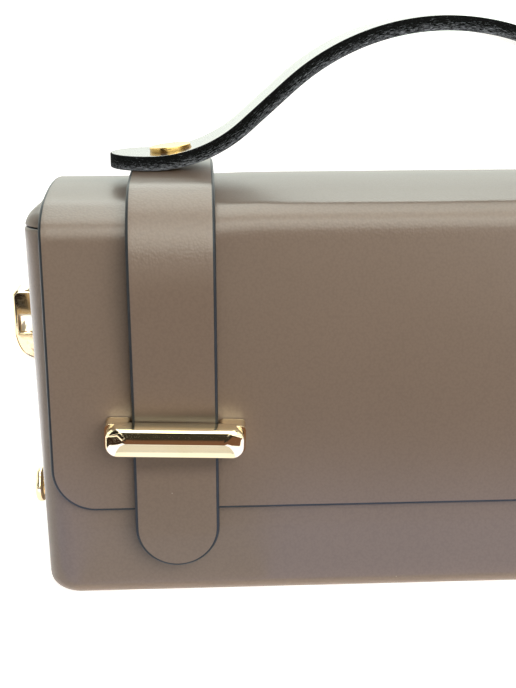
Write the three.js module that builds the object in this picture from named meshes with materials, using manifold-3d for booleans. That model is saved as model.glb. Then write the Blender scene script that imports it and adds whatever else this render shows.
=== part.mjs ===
// Structured leather handbag: a moulded body and lid, a flap that wraps the lid and the front, two straps
// kept by gold bar loops, a carrying handle, and gold fittings on both ends.
// Millimetres, +Z up, front towards -Y, origin at the middle of the base.
import * as THREE from "three";
import { mergeVertices } from "three/addons/utils/BufferGeometryUtils.js";
import Module from "manifold-3d";

// Clearance between pieces that touch, and round a post in its hole
const SEAT_GAP = 0.3;
const HOLE_GAP = 0.4;

// Moulded body: half sizes at the rim, ends that lean in towards the base, rounded base edge, bevelled rim
const BODY_HALF_WIDTH = 126.3;
const BODY_HALF_DEPTH = 35.4;
const BODY_HEIGHT = 116.8;
const BODY_WALL = 2.4;
const END_TAPER = 2;
const CORNER_RADIUS = 10;
const BASE_ROUND = { x: 8.5, y: 5.5, z: 7 };
const RIM_BEVEL = 1.1;

// Moulded lid tray: its top edge is boxy at the ends and rounds away slowly at the front and back, from the
// height where each rounding starts. Then the crown across the top, and half the flat along its middle
const LID_TOP = 121;
const LID_END_ROUND = { inset: 6.5, start: 114.5, power: 3 };
const LID_FRONT_ROUND = { inset: 12.5, start: 112.5, power: 2 };
const LID_WALL = 2;
const LID_CROWN = 2;
const LID_RIDGE = 1;

// Flap: a sheet over the lid, with rounded lower corners
const FLAP_HALF_WIDTH = 121;
const FLAP_THICKNESS = 2;
const FLAP_STAND_OFF = 0.4;
const FLAP_CORNER_RADIUS = 13.5;
const FLAP_FRONT_EDGE = 30;
const FLAP_BACK_EDGE = 48;
const FLAP_SHOULDER = { height: 116.6, radius: 3.5 };
const FLAP_BEND = { along: 28.85, height: 120.8, radius: 16 };
const FLAP_CROWN = { height: 124.84, radius: 150 };

// Straps: doubled leather that bows out a little at the shoulders
const STRAP_X = 83;
const STRAP_HALF_WIDTH = 12.8;
const STRAP_THICKNESS = 3.9;
const STRAP_TIP = 13;
const STRAP_KNEE = { height: 62, radius: 200 };
const STRAP_SHOULDER = { bow: 4.2, height: 124.03, radius: 17 };
const STRAP_CROWN = { rise: 3.41, radius: 250 };

// Handle: flat feet, a hollow curve up, and a round arch between
const HANDLE_HALF_WIDTH = 12.75;
const HANDLE_THICKNESS = 3.9;
const HANDLE_UNDERSIDE = 130.8;
const HANDLE_TIP_X = 102.3;
const HANDLE_FOOT = { x: 73.8, radius: 41.6 };
const HANDLE_SLOPE = THREE.MathUtils.degToRad(41.6);
const HANDLE_ARCH_RADIUS = 73;

// Bar loops: a bevelled bar on two legs, with a post from each leg through the flap
const BAR_HALF_LENGTH = 20.5;
const BAR_HEIGHT = 55.85;
const BAR_SECTIONS = [
  { out: 4.6, halfLength: 19.9, halfHeight: 3.75, lift: 0, corner: 3 },
  { out: 5.2, halfLength: 20.5, halfHeight: 4.35, lift: 0, corner: 3.6 },
  { out: 9.2, halfLength: 20.5, halfHeight: 4.35, lift: 0, corner: 3.6 },
  { out: 11.0, halfLength: 16.6, halfHeight: 1.85, lift: 1.5, corner: 0.7 },
];
const LEG = { halfWidth: 2.9, halfHeight: 3.7, corner: 1.2, inset: 3.9, reach: 6.5 };
const LEG_POST_RADIUS = 1.5;

// Handle studs: a flat cap on a shank that goes down through the lid to a plain head
const STUD_X = 83.5;
const STUD_CAP = { radius: 6.45, thickness: 1.9, bevel: 0.5, stand: 0.8 };
const STUD_SHANK_RADIUS = 2;
const STUD_HEAD = { radius: 4.5, thickness: 1.3 };

// End fittings: a loop with a slanting lower leg, and a button stud below it
const LOOP = { width: 10, top: 92, bottom: 68.5, reach: 8.6, plate: 2, bevel: 0.6, corner: 1.6 };
const LOOP_ELBOW = { bottom: 74.5, top: 77.5, inset: 1 };
const LOOP_HOLE = { bottom: 78.4, top: 83.4, bar: 2.3 };
const LOOP_POST = { height: 81, radius: 2, bite: 0.8 };
const BUTTON_HEIGHT = 23.5;
const BUTTON_PROFILE = [
  { radius: 1.6, out: 0.3 },
  { radius: 4.4, out: 0.3 },
  { radius: 4.4, out: 1.2 },
  { radius: 2.8, out: 1.8 },
  { radius: 2.8, out: 3.2 },
  { radius: 5.2, out: 3.6 },
  { radius: 6.0, out: 4.4 },
  { radius: 6.0, out: 5.6 },
  { radius: 5.3, out: 6.4 },
];
const BUTTON_FACE = 6.7;

// Facets: steps round a quarter corner, along an end wall, over the lid's top, over a bend, and round a rod
const QUARTER_STEPS = 5;
const END_WALL_STEPS = 8;
const LID_TOP_STEPS = 4;
const BEND_STEP = THREE.MathUtils.degToRad(9);
const BEND_STEPS_LEAST = 4;
const TIP_START = THREE.MathUtils.degToRad(10);
const CLOSEST_SECTIONS = 0.05;
const ROD_SIDES = 16;
const BUTTON_SIDES = 24;

const wasm = await Module();
wasm.setup();

const rightAngle = Math.PI / 2;
const flapInner = BODY_HALF_DEPTH + FLAP_STAND_OFF;
const flapOuter = flapInner + FLAP_THICKNESS;
const lidRim = BODY_HEIGHT + SEAT_GAP;

// Half width of the body at a height, with the lean of the end walls
function endWallAt(height) {
  return BODY_HALF_WIDTH - END_TAPER * (1 - height / BODY_HEIGHT);
}

// Points of a rounded rectangle, counter-clockwise, with extra points along its two short sides
function roundedRectangle(halfA, halfB, radius, shortSideSteps = 1) {
  const points = [];
  for (let corner = 0; corner < 4; corner += 1) {
    const a = (corner === 0 || corner === 3 ? 1 : -1) * (halfA - radius);
    const b = (corner < 2 ? 1 : -1) * (halfB - radius);
    for (let step = 0; step <= QUARTER_STEPS; step += 1) {
      const angle = (corner + step / QUARTER_STEPS) * rightAngle;
      points.push(new THREE.Vector2(a + radius * Math.cos(angle), b + radius * Math.sin(angle)));
    }
    if (corner % 2 === 1) {
      for (let step = 1; step < shortSideSteps; step += 1) {
        const share = 1 - (2 * step) / shortSideSteps;
        points.push(new THREE.Vector2(Math.sign(a) * halfA, b * share));
      }
    }
  }
  return points;
}

// One closed body through rings of equal length, with a fan over the first and the last ring
function skin(rings) {
  const count = rings[0].length;
  const points = rings.flat();
  const faces = [];
  for (let row = 0; row + 1 < rings.length; row += 1) {
    for (let i = 0; i < count; i += 1) {
      const here = row * count + i;
      const beside = row * count + ((i + 1) % count);
      faces.push(here, beside, beside + count, here, beside + count, here + count);
    }
  }
  for (const [row, turn] of [[0, -1], [rings.length - 1, 1]]) {
    const centre = new THREE.Vector3();
    rings[row].forEach((point) => centre.addScaledVector(point, 1 / count));
    const hub = points.push(centre) - 1;
    for (let i = 0; i < count; i += 1) {
      const here = row * count + i;
      const beside = row * count + ((i + 1) % count);
      faces.push(hub, ...(turn > 0 ? [here, beside] : [beside, here]));
    }
  }
  const geometry = new THREE.BufferGeometry().setFromPoints(points);
  geometry.setIndex(faces);
  return facingOut(geometry);
}

// Turns a closed body's faces outwards
function facingOut(geometry) {
  const [a, b, c] = [new THREE.Vector3(), new THREE.Vector3(), new THREE.Vector3()];
  const index = geometry.index.array;
  const position = geometry.attributes.position;
  let volume = 0;
  for (let i = 0; i < index.length; i += 3) {
    a.fromBufferAttribute(position, index[i]);
    b.fromBufferAttribute(position, index[i + 1]);
    c.fromBufferAttribute(position, index[i + 2]);
    volume += a.dot(b.cross(c));
  }
  if (volume < 0) {
    for (let i = 0; i < index.length; i += 3) {
      [index[i + 1], index[i + 2]] = [index[i + 2], index[i + 1]];
    }
  }
  geometry.computeVertexNormals();
  return geometry;
}

function solidOf(geometry) {
  const bare = geometry.clone();
  bare.deleteAttribute("normal");
  bare.deleteAttribute("uv");
  const merged = mergeVertices(bare);
  const index = merged.index.array;
  const faces = [];
  for (let i = 0; i < index.length; i += 3) {
    const face = [index[i], index[i + 1], index[i + 2]];
    if (new Set(face).size === 3) {
      faces.push(...face);
    }
  }
  const vertProperties = new Float32Array(merged.attributes.position.array);
  return new wasm.Manifold(new wasm.Mesh({ numProp: 3, vertProperties, triVerts: new Uint32Array(faces) }));
}

function geometryOf(solid) {
  const { vertProperties, triVerts } = solid.getMesh();
  const geometry = new THREE.BufferGeometry();
  geometry.setAttribute("position", new THREE.BufferAttribute(vertProperties, 3));
  geometry.setIndex(new THREE.BufferAttribute(triVerts, 1));
  geometry.computeVertexNormals();
  return geometry;
}

function joined(first, ...others) {
  return geometryOf(others.reduce((whole, piece) => whole.add(solidOf(piece)), solidOf(first)));
}

function pierced(geometry, cutters) {
  return geometryOf(cutters.reduce((whole, cutter) => whole.subtract(solidOf(cutter)), solidOf(geometry)));
}

// A round rod between two points on one line along X, Y or Z
function rod(radius, start, end) {
  const from = new THREE.Vector3(...start);
  const way = new THREE.Vector3(...end).sub(from);
  const geometry = new THREE.CylinderGeometry(radius, radius, way.length(), ROD_SIDES);
  const turn = new THREE.Quaternion().setFromUnitVectors(new THREE.Vector3(0, 1, 0), way.clone().normalize());
  geometry.applyQuaternion(turn);
  const middle = from.addScaledVector(way, 0.5);
  return geometry.translate(middle.x, middle.y, middle.z);
}

// A smooth path through corner points, each inner corner rounded to its own radius
function roundedPath(corners) {
  const path = new THREE.CurvePath();
  const points = corners.map(({ along, z }) => new THREE.Vector2(along, z));
  let last = points[0];
  for (let i = 1; i + 1 < points.length; i += 1) {
    const back = points[i - 1].clone().sub(points[i]).normalize();
    const ahead = points[i + 1].clone().sub(points[i]).normalize();
    const half = Math.acos(back.dot(ahead)) / 2;
    const { radius } = corners[i];
    const start = points[i].clone().addScaledVector(back, radius / Math.tan(half));
    const end = points[i].clone().addScaledVector(ahead, radius / Math.tan(half));
    const middle = back.clone().add(ahead).normalize();
    const centre = points[i].clone().addScaledVector(middle, radius / Math.sin(half));
    const angles = [start, end].map((point) => point.clone().sub(centre).angle());
    const clockwise = back.cross(ahead) > 0;
    path.add(new THREE.LineCurve(last, start));
    path.add(new THREE.EllipseCurve(centre.x, centre.y, radius, radius, ...angles, clockwise));
    last = end;
  }
  path.add(new THREE.LineCurve(last, points.at(-1)));
  return path;
}

// Distances along a path where a strip needs a section: its bends and its rounded tips
function sectionMarks(path, tipRadius) {
  const total = path.getLength();
  const marks = [];
  let begin = 0;
  for (const curve of path.curves) {
    const length = curve.getLength();
    if (!curve.isLineCurve) {
      const steps = Math.max(BEND_STEPS_LEAST, Math.ceil(length / curve.xRadius / BEND_STEP));
      for (let step = 0; step <= steps; step += 1) {
        marks.push(begin + (length * step) / steps);
      }
    }
    begin += length;
  }
  const tipSteps = 2 * QUARTER_STEPS;
  for (let step = 0; step <= tipSteps; step += 1) {
    const angle = TIP_START + ((rightAngle - TIP_START) * step) / tipSteps;
    const distance = tipRadius * (1 - Math.cos(angle));
    marks.push(distance, total - distance);
  }
  marks.sort((a, b) => a - b);
  return marks.filter((mark, i) => i === 0 || mark - marks[i - 1] > CLOSEST_SECTIONS);
}

// A strip of leather of even thickness laid along a path in an upright plane, with rounded tips.
// The path is one face, and the thickness is measured to its left.
function leatherStrip({ corners, halfWidth, thickness, tipRadius, place }) {
  const path = roundedPath(corners);
  const total = path.getLength();
  const rings = sectionMarks(path, tipRadius).map((mark) => {
    const point = path.getPoint(mark / total);
    const tangent = path.getTangent(mark / total);
    const left = new THREE.Vector2(-tangent.y, tangent.x);
    const far = point.clone().addScaledVector(left, thickness);
    const toTip = Math.max(0, tipRadius - Math.min(mark, total - mark));
    const half = halfWidth - tipRadius + Math.sqrt(tipRadius ** 2 - toTip ** 2);
    return [place(-half, point), place(half, point), place(half, far), place(-half, far)];
  });
  return skin(rings);
}

const acrossX = (across, point) => new THREE.Vector3(across, point.x, point.y);
const acrossY = (across, point) => new THREE.Vector3(point.x, across, point.y);

// Posts and shanks go through these holes
function studHole(x) {
  const above = HANDLE_UNDERSIDE + 3 * HANDLE_THICKNESS;
  return rod(STUD_SHANK_RADIUS + HOLE_GAP, [x, 0, BODY_HEIGHT], [x, 0, above]);
}

function legHole(x) {
  const [inside, outside] = [FLAP_THICKNESS - flapInner, -FLAP_THICKNESS - flapOuter];
  return rod(LEG_POST_RADIUS + HOLE_GAP, [x, inside, BAR_HEIGHT], [x, outside, BAR_HEIGHT]);
}

function endHole(side, radius, height) {
  const inside = side * (endWallAt(height) - 2 * BODY_WALL);
  const outside = side * (endWallAt(height) + BODY_WALL);
  return rod(radius + HOLE_GAP, [inside, 0, height], [outside, 0, height]);
}

function bodyRing(inset, z) {
  const halfX = endWallAt(z) - inset.x;
  const outline = roundedRectangle(halfX, BODY_HALF_DEPTH - inset.y, CORNER_RADIUS - inset.y);
  return outline.map((point) => new THREE.Vector3(point.x, point.y, z));
}

// Open-topped box: round the base edge, up the outside, over the rim and down the inside
function body() {
  const rings = [];
  for (let step = 0; step <= QUARTER_STEPS; step += 1) {
    const angle = (step / QUARTER_STEPS) * rightAngle;
    const inset = { x: BASE_ROUND.x * (1 - Math.sin(angle)), y: BASE_ROUND.y * (1 - Math.sin(angle)) };
    rings.push(bodyRing(inset, BASE_ROUND.z * (1 - Math.cos(angle))));
  }
  rings.push(bodyRing({ x: 0, y: 0 }, BODY_HEIGHT - RIM_BEVEL));
  rings.push(bodyRing({ x: RIM_BEVEL, y: RIM_BEVEL }, BODY_HEIGHT));
  rings.push(bodyRing({ x: BODY_WALL, y: BODY_WALL }, BODY_HEIGHT));
  for (let step = QUARTER_STEPS; step >= 0; step -= 1) {
    const angle = (step / QUARTER_STEPS) * rightAngle;
    const share = 1 - Math.sin(angle);
    const x = BODY_WALL + (BASE_ROUND.x - BODY_WALL) * share;
    const y = BODY_WALL + (BASE_ROUND.y - BODY_WALL) * share;
    rings.push(bodyRing({ x, y }, BODY_WALL + (BASE_ROUND.z - BODY_WALL) * (1 - Math.cos(angle))));
  }
  const holes = [-1, 1].flatMap((side) => [
    endHole(side, LOOP_POST.radius, LOOP_POST.height),
    endHole(side, BUTTON_PROFILE[0].radius, BUTTON_HEIGHT),
  ]);
  return pierced(skin(rings), holes);
}

// One ring of the lid; the crown lifts its points towards the middle of the depth
function lidRing(inset, z, lift) {
  const radius = Math.max(CORNER_RADIUS - inset.x, LID_RIDGE / 2);
  const outline = roundedRectangle(BODY_HALF_WIDTH - inset.x, BODY_HALF_DEPTH - inset.y, radius, END_WALL_STEPS);
  const reach = BODY_HALF_DEPTH - LID_FRONT_ROUND.inset;
  return outline.map(({ x, y }) => {
    const crown = LID_CROWN * Math.max(0, 1 - (y / reach) ** 2);
    return new THREE.Vector3(x, y, z + lift * crown);
  });
}

// How far the lid's edge has rounded away at a height, on a face that lies a wall's depth inside
function roundedAway({ inset, start, power }, z, depth) {
  const share = Math.min(1, (z - start) / (LID_TOP - depth - start));
  return depth + (inset - depth) * (1 - (1 - share ** power) ** (1 / power));
}

// Rings of one face of the lid from its rim to its middle, a wall's depth inside the outer face
function lidFace(depth) {
  const rings = [];
  const top = LID_TOP - depth;
  for (let step = 0; step <= QUARTER_STEPS; step += 1) {
    const share = Math.sin((step / QUARTER_STEPS) * rightAngle);
    const z = lidRim + (top - lidRim) * share;
    const inset = { x: roundedAway(LID_END_ROUND, z, depth), y: roundedAway(LID_FRONT_ROUND, z, depth) };
    rings.push(lidRing(inset, z, share));
  }
  const reach = BODY_HALF_DEPTH - LID_FRONT_ROUND.inset - LID_RIDGE;
  for (let step = 1; step <= LID_TOP_STEPS; step += 1) {
    const further = (reach * step) / LID_TOP_STEPS;
    rings.push(lidRing({ x: LID_END_ROUND.inset + further, y: LID_FRONT_ROUND.inset + further }, top, 1));
  }
  return rings;
}

function lid() {
  const tray = skin([...lidFace(LID_WALL).reverse(), ...lidFace(0)]);
  return pierced(tray, [studHole(-STUD_X), studHole(STUD_X)]);
}

function flap() {
  const { height, radius } = FLAP_SHOULDER;
  const bend = { z: FLAP_BEND.height, radius: FLAP_BEND.radius };
  const strip = leatherStrip({
    corners: [
      { along: -flapInner, z: FLAP_FRONT_EDGE },
      { along: -flapInner, z: height, radius },
      { along: -FLAP_BEND.along, ...bend },
      { along: 0, z: FLAP_CROWN.height, radius: FLAP_CROWN.radius },
      { along: FLAP_BEND.along, ...bend },
      { along: flapInner, z: height, radius },
      { along: flapInner, z: FLAP_BACK_EDGE },
    ],
    halfWidth: FLAP_HALF_WIDTH,
    thickness: FLAP_THICKNESS,
    tipRadius: FLAP_CORNER_RADIUS,
    place: acrossX,
  });
  const legX = BAR_HALF_LENGTH - LEG.inset;
  const holes = [-1, 1].flatMap((side) => [
    studHole(side * STUD_X),
    legHole(side * STRAP_X - legX),
    legHole(side * STRAP_X + legX),
  ]);
  return pierced(strip, holes);
}

// Over the top and down the front under its bar loop, bowed out from the flap at the shoulders
function strap(side) {
  const inner = flapOuter + SEAT_GAP;
  const shoulder = inner + STRAP_SHOULDER.bow;
  const { height, radius } = STRAP_SHOULDER;
  const strip = leatherStrip({
    corners: [
      { along: -inner, z: STRAP_TIP },
      { along: -inner, z: STRAP_KNEE.height, radius: STRAP_KNEE.radius },
      { along: -shoulder, z: height, radius },
      { along: 0, z: height + STRAP_CROWN.rise, radius: STRAP_CROWN.radius },
      { along: shoulder, z: height, radius },
      { along: inner, z: STRAP_KNEE.height },
    ],
    halfWidth: STRAP_HALF_WIDTH,
    thickness: STRAP_THICKNESS,
    tipRadius: STRAP_HALF_WIDTH,
    place: acrossX,
  });
  return pierced(strip, [studHole(side * (STUD_X - STRAP_X))]);
}

function handle() {
  const top = HANDLE_UNDERSIDE + HANDLE_THICKNESS;
  const strip = leatherStrip({
    corners: [
      { along: -HANDLE_TIP_X, z: top },
      { along: -HANDLE_FOOT.x, z: top, radius: HANDLE_FOOT.radius },
      { along: 0, z: top + HANDLE_FOOT.x * Math.tan(HANDLE_SLOPE), radius: HANDLE_ARCH_RADIUS },
      { along: HANDLE_FOOT.x, z: top, radius: HANDLE_FOOT.radius },
      { along: HANDLE_TIP_X, z: top },
    ],
    halfWidth: HANDLE_HALF_WIDTH,
    thickness: -HANDLE_THICKNESS,
    tipRadius: HANDLE_HALF_WIDTH,
    place: acrossY,
  });
  return pierced(strip, [studHole(-STUD_X), studHole(STUD_X)]);
}

// Bevelled bar, its two legs and the posts behind them, in one piece
function barLoop() {
  const bar = skin(BAR_SECTIONS.map(({ out, halfLength, halfHeight, lift, corner }) => {
    const outline = roundedRectangle(halfLength, halfHeight, corner);
    return outline.map(({ x, y }) => new THREE.Vector3(x, -flapOuter - out, BAR_HEIGHT + lift + y));
  }));
  const legs = [-1, 1].flatMap((end) => {
    const x = end * (BAR_HALF_LENGTH - LEG.inset);
    const leg = skin([SEAT_GAP, LEG.reach].map((out) => {
      const outline = roundedRectangle(LEG.halfWidth, LEG.halfHeight, LEG.corner);
      return outline.map((point) => new THREE.Vector3(x + point.x, -flapOuter - out, BAR_HEIGHT + point.y));
    }));
    const post = rod(LEG_POST_RADIUS, [x, -flapInner, BAR_HEIGHT], [x, -flapOuter - 1, BAR_HEIGHT]);
    return [leg, post];
  });
  return joined(bar, ...legs);
}

// Cap square to the handle's curve under it, on an upright shank with a head inside the lid
function handleStud(side) {
  const curveStart = HANDLE_FOOT.x + HANDLE_FOOT.radius * Math.tan(HANDLE_SLOPE / 2);
  const lean = Math.asin((curveStart - STUD_X) / HANDLE_FOOT.radius);
  const rise = HANDLE_FOOT.radius * (1 - Math.cos(lean));
  const seat = HANDLE_UNDERSIDE + HANDLE_THICKNESS + rise;
  const { radius, thickness, bevel, stand } = STUD_CAP;
  const rim = [[radius, 0], [radius, thickness - bevel], [radius - bevel, thickness]];
  const profile = [[0, 0], ...rim, [0, thickness]];
  const cap = new THREE.LatheGeometry(profile.map((point) => new THREE.Vector2(...point)), BUTTON_SIDES);
  cap.rotateX(rightAngle);
  cap.translate(0, 0, stand);
  cap.rotateY(side * lean);
  cap.translate(0, 0, seat);
  const headTop = LID_TOP + LID_CROWN - LID_WALL - SEAT_GAP;
  const shankFoot = headTop - STUD_HEAD.thickness / 2;
  const shank = rod(STUD_SHANK_RADIUS, [0, 0, shankFoot], [0, 0, seat + stand + thickness / 2]);
  const head = rod(STUD_HEAD.radius, [0, 0, headTop - STUD_HEAD.thickness], [0, 0, headTop]);
  return joined(cap, shank, head);
}

// Loop for a carrying strap: a plate on the end wall, a deep upper arm, an outer bar and a slanting leg
function sideLoop() {
  const { bevel, corner } = LOOP;
  const wall = endWallAt(LOOP.top) + SEAT_GAP;
  const [seat, outer] = [wall + bevel, wall + LOOP.reach - bevel];
  const [bottom, top] = [LOOP.bottom + bevel, LOOP.top - bevel];
  const outline = new THREE.Shape();
  outline.moveTo(seat, bottom);
  outline.lineTo(wall + LOOP.plate - bevel, bottom);
  outline.quadraticCurveTo(outer - LOOP_ELBOW.inset, LOOP_ELBOW.bottom, outer, LOOP_ELBOW.top);
  outline.lineTo(outer, top - corner);
  outline.quadraticCurveTo(outer, top, outer - corner, top);
  outline.lineTo(seat, top);
  outline.closePath();
  const [innerSide, outerSide] = [wall + LOOP.plate - bevel, wall + LOOP.reach - LOOP_HOLE.bar + bevel];
  const [holeBottom, holeTop] = [LOOP_HOLE.bottom - bevel, LOOP_HOLE.top + bevel];
  const hole = new THREE.Path();
  hole.moveTo(innerSide, holeBottom);
  hole.lineTo(innerSide, holeTop);
  hole.lineTo(outerSide, holeTop);
  hole.lineTo(outerSide, holeBottom);
  hole.closePath();
  outline.holes.push(hole);
  const loop = new THREE.ExtrudeGeometry(outline, {
    depth: LOOP.width - 2 * bevel,
    steps: 1,
    curveSegments: QUARTER_STEPS,
    bevelThickness: bevel,
    bevelSize: bevel,
    bevelSegments: 2,
  });
  loop.translate(0, 0, bevel - LOOP.width / 2);
  loop.rotateX(rightAngle);
  const inside = endWallAt(LOOP_POST.height) - BODY_WALL;
  const { radius, height, bite } = LOOP_POST;
  return joined(loop, rod(radius, [inside, 0, height], [wall + bite, 0, height]));
}

function sideStud() {
  const wall = endWallAt(BUTTON_HEIGHT);
  const profile = BUTTON_PROFILE.map(({ radius, out }) => new THREE.Vector2(radius, out));
  profile.unshift(new THREE.Vector2(0, -BODY_WALL), new THREE.Vector2(BUTTON_PROFILE[0].radius, -BODY_WALL));
  profile.push(new THREE.Vector2(0, BUTTON_FACE));
  const button = new THREE.LatheGeometry(profile, BUTTON_SIDES);
  button.rotateZ(-rightAngle);
  return button.translate(wall, 0, BUTTON_HEIGHT);
}

function leather() {
  return new THREE.MeshStandardMaterial({ color: 0x807062, roughness: 0.5, metalness: 0 });
}

function goldPlate() {
  return new THREE.MeshStandardMaterial({ color: 0xe6cf95, roughness: 0.12, metalness: 1 });
}

const handbag = new THREE.Group();

function addPiece(parent, name, geometry, material) {
  const piece = new THREE.Mesh(geometry, material);
  piece.name = name;
  parent.add(piece);
  return piece;
}

addPiece(handbag, "body", body(), leather());
addPiece(handbag, "lid", lid(), leather());
addPiece(handbag, "flap", flap(), leather());
addPiece(handbag, "handle", handle(), leather());
for (const [name, side] of [["left", -1], ["right", 1]]) {
  addPiece(handbag, `strap_${name}`, strap(side), leather()).position.x = side * STRAP_X;
  addPiece(handbag, `bar_loop_${name}`, barLoop(), goldPlate()).position.x = side * STRAP_X;
  addPiece(handbag, `handle_stud_${name}`, handleStud(side), goldPlate()).position.x = side * STUD_X;
  const endFittings = new THREE.Group();
  endFittings.rotation.z = side < 0 ? Math.PI : 0;
  handbag.add(endFittings);
  addPiece(endFittings, `side_loop_${name}`, sideLoop(), goldPlate());
  addPiece(endFittings, `side_stud_${name}`, sideStud(), goldPlate());
}

export default handbag;
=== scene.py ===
import math

import bmesh
import bpy
import numpy as np
from mathutils import Matrix, Vector


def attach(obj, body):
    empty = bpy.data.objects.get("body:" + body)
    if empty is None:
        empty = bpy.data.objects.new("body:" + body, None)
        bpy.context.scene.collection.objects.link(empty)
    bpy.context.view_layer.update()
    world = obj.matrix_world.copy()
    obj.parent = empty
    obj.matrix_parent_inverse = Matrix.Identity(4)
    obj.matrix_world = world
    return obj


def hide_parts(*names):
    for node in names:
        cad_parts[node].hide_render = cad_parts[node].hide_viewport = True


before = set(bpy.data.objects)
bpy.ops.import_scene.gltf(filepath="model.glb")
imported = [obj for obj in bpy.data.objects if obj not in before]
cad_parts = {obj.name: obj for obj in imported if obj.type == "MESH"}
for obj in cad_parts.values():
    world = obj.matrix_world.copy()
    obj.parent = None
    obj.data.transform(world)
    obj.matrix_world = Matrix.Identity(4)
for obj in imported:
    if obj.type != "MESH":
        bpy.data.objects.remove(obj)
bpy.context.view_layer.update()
print("frame loaded:", len(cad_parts), "nodes")

mm = 0.001  # all sizes below are in millimetres, Blender works in metres
scene = bpy.context.scene


# Small helpers

def linear(hexColour):  # sRGB hex to linear RGBA
    channels = [int(hexColour[i:i + 2], 16) / 255 for i in (1, 3, 5)]
    return [c / 12.92 if c <= 0.04045 else ((c + 0.055) / 1.055) ** 2.4 for c in channels] + [1.0]


def addNode(tree, kind, settings=None, inputs=None):  # inputs are sockets to link or plain values
    node = tree.nodes.new(kind)
    for name, value in (settings or {}).items():
        setattr(node, name, value)
    for socket, value in (inputs or {}).items():
        if isinstance(value, bpy.types.NodeSocket):
            tree.links.new(value, node.inputs[socket])
        else:
            node.inputs[socket].default_value = value
    return node


def newMaterial(name):
    material = bpy.data.materials.new(name)
    material.use_nodes = True
    material.node_tree.nodes.clear()
    return material, material.node_tree


def makeObject(name, verts, faces, materials=(), faceMaterial=None):
    mesh = bpy.data.meshes.new(name)
    mesh.from_pydata([tuple(v) for v in verts], [], [tuple(f) for f in faces])
    for material in materials:
        mesh.materials.append(material)
    if faceMaterial is not None:
        mesh.polygons.foreach_set("material_index", np.asarray(faceMaterial, np.int32))
    weld(mesh)
    obj = bpy.data.objects.new(name, mesh)
    scene.collection.objects.link(obj)
    return obj


def weld(mesh):  # close seams and poles, turn the faces outwards, shade smooth
    bm = bmesh.new()
    bm.from_mesh(mesh)
    bmesh.ops.remove_doubles(bm, verts=bm.verts, dist=0.002 * mm)
    bmesh.ops.dissolve_degenerate(bm, edges=bm.edges, dist=0.001 * mm)
    bmesh.ops.recalc_face_normals(bm, faces=bm.faces)
    for face in bm.faces:
        face.smooth = True
    bm.to_mesh(mesh)
    bm.free()


def applyModifiers(obj):  # the evaluated shape becomes the object's plain mesh
    shaped = bpy.data.meshes.new_from_object(obj.evaluated_get(bpy.context.evaluated_depsgraph_get()))
    shaped.name = obj.name
    obj.modifiers.clear()
    obj.data = shaped


def finishPiece(obj, slot, *nodes):
    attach(obj, "root")
    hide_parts(*nodes)
    print("piece", obj.name, len(obj.data.polygons), "faces")


# Materials

leatherLook = {
    "taupe": "#7a6757", "taupeShade": "#736151", "groove": "#6a5c50",
    # rubbed is the dark brown painted as shade on the straps above and below the bar loops
    "dust": "#a59a8b", "rubbed": "#35281d",
    "grain": 0.75, "pore": 0.28, "mottle": 46, "speckSpacing": 13, "speckSize": 0.22,
    "roughness": 0.33, "roughSpread": 0.04, "handleRoughness": 0.16, "handleCoat": 0.4,
}


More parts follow.
